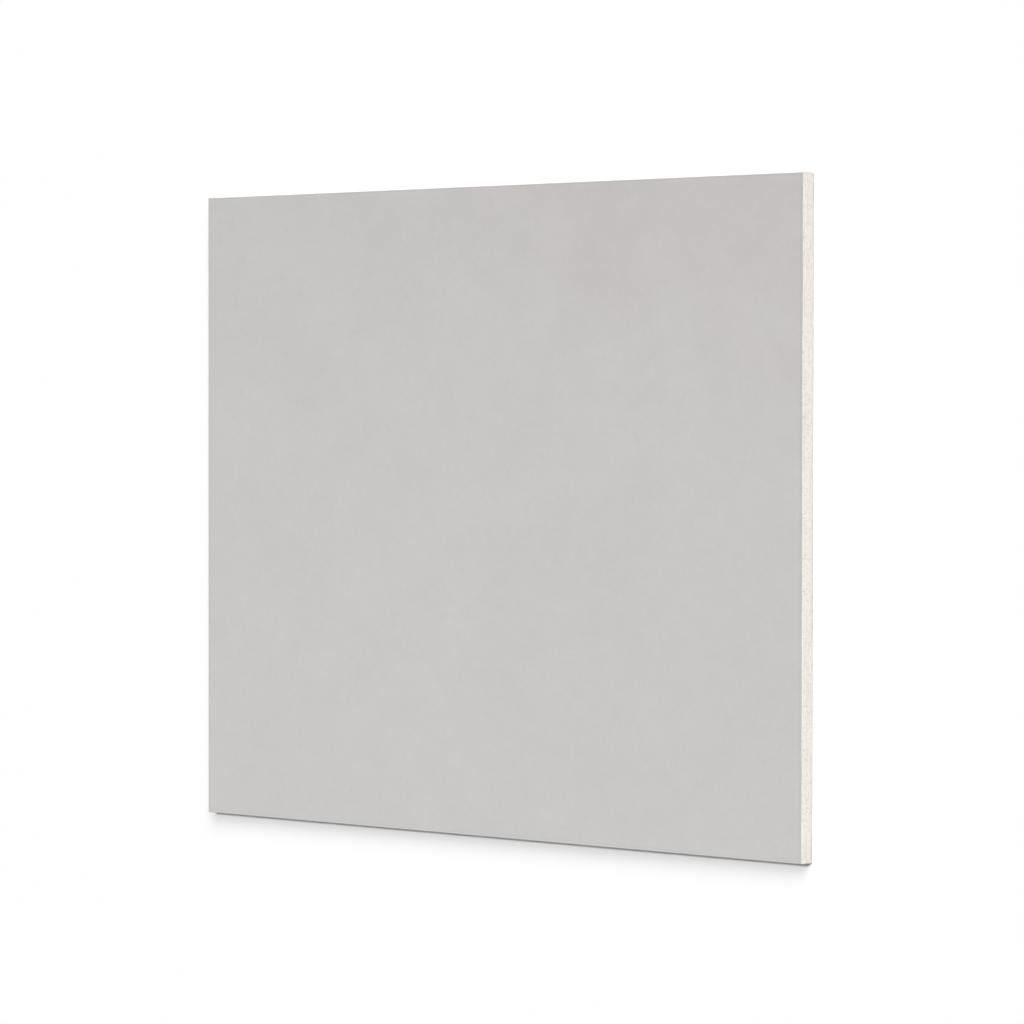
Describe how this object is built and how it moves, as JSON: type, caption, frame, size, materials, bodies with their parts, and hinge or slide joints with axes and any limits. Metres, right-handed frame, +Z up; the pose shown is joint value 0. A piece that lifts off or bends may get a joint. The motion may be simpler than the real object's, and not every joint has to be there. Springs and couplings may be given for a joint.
{
  "type": "drywall sheet",
  "caption": "Cut piece of square-edged gypsum board: a gypsum core with grey face paper folded round its long edges and lapped by the back paper, lying face up.",
  "frame": {"origin": "middle of the back, on the surface that the board lies on", "axes": "+X from one cut end to the other, the longer way; +Y from one paper-bound edge to the other; +Z up, out of the face"},
  "size_m": [0.762, 0.6096, 0.0159],
  "materials": {
    "set_gypsum": "matt off-white foamed gypsum with fine pores, sawn at the ends",
    "face_paper": "smooth matt light grey calendered paper",
    "back_paper": "rougher matt warm grey recycled paper"
  },
  "bodies": {
    "root": {"gypsum_core": "set_gypsum", "face_paper": "face_paper", "back_paper": "back_paper"}
  },
  "joints": []
}
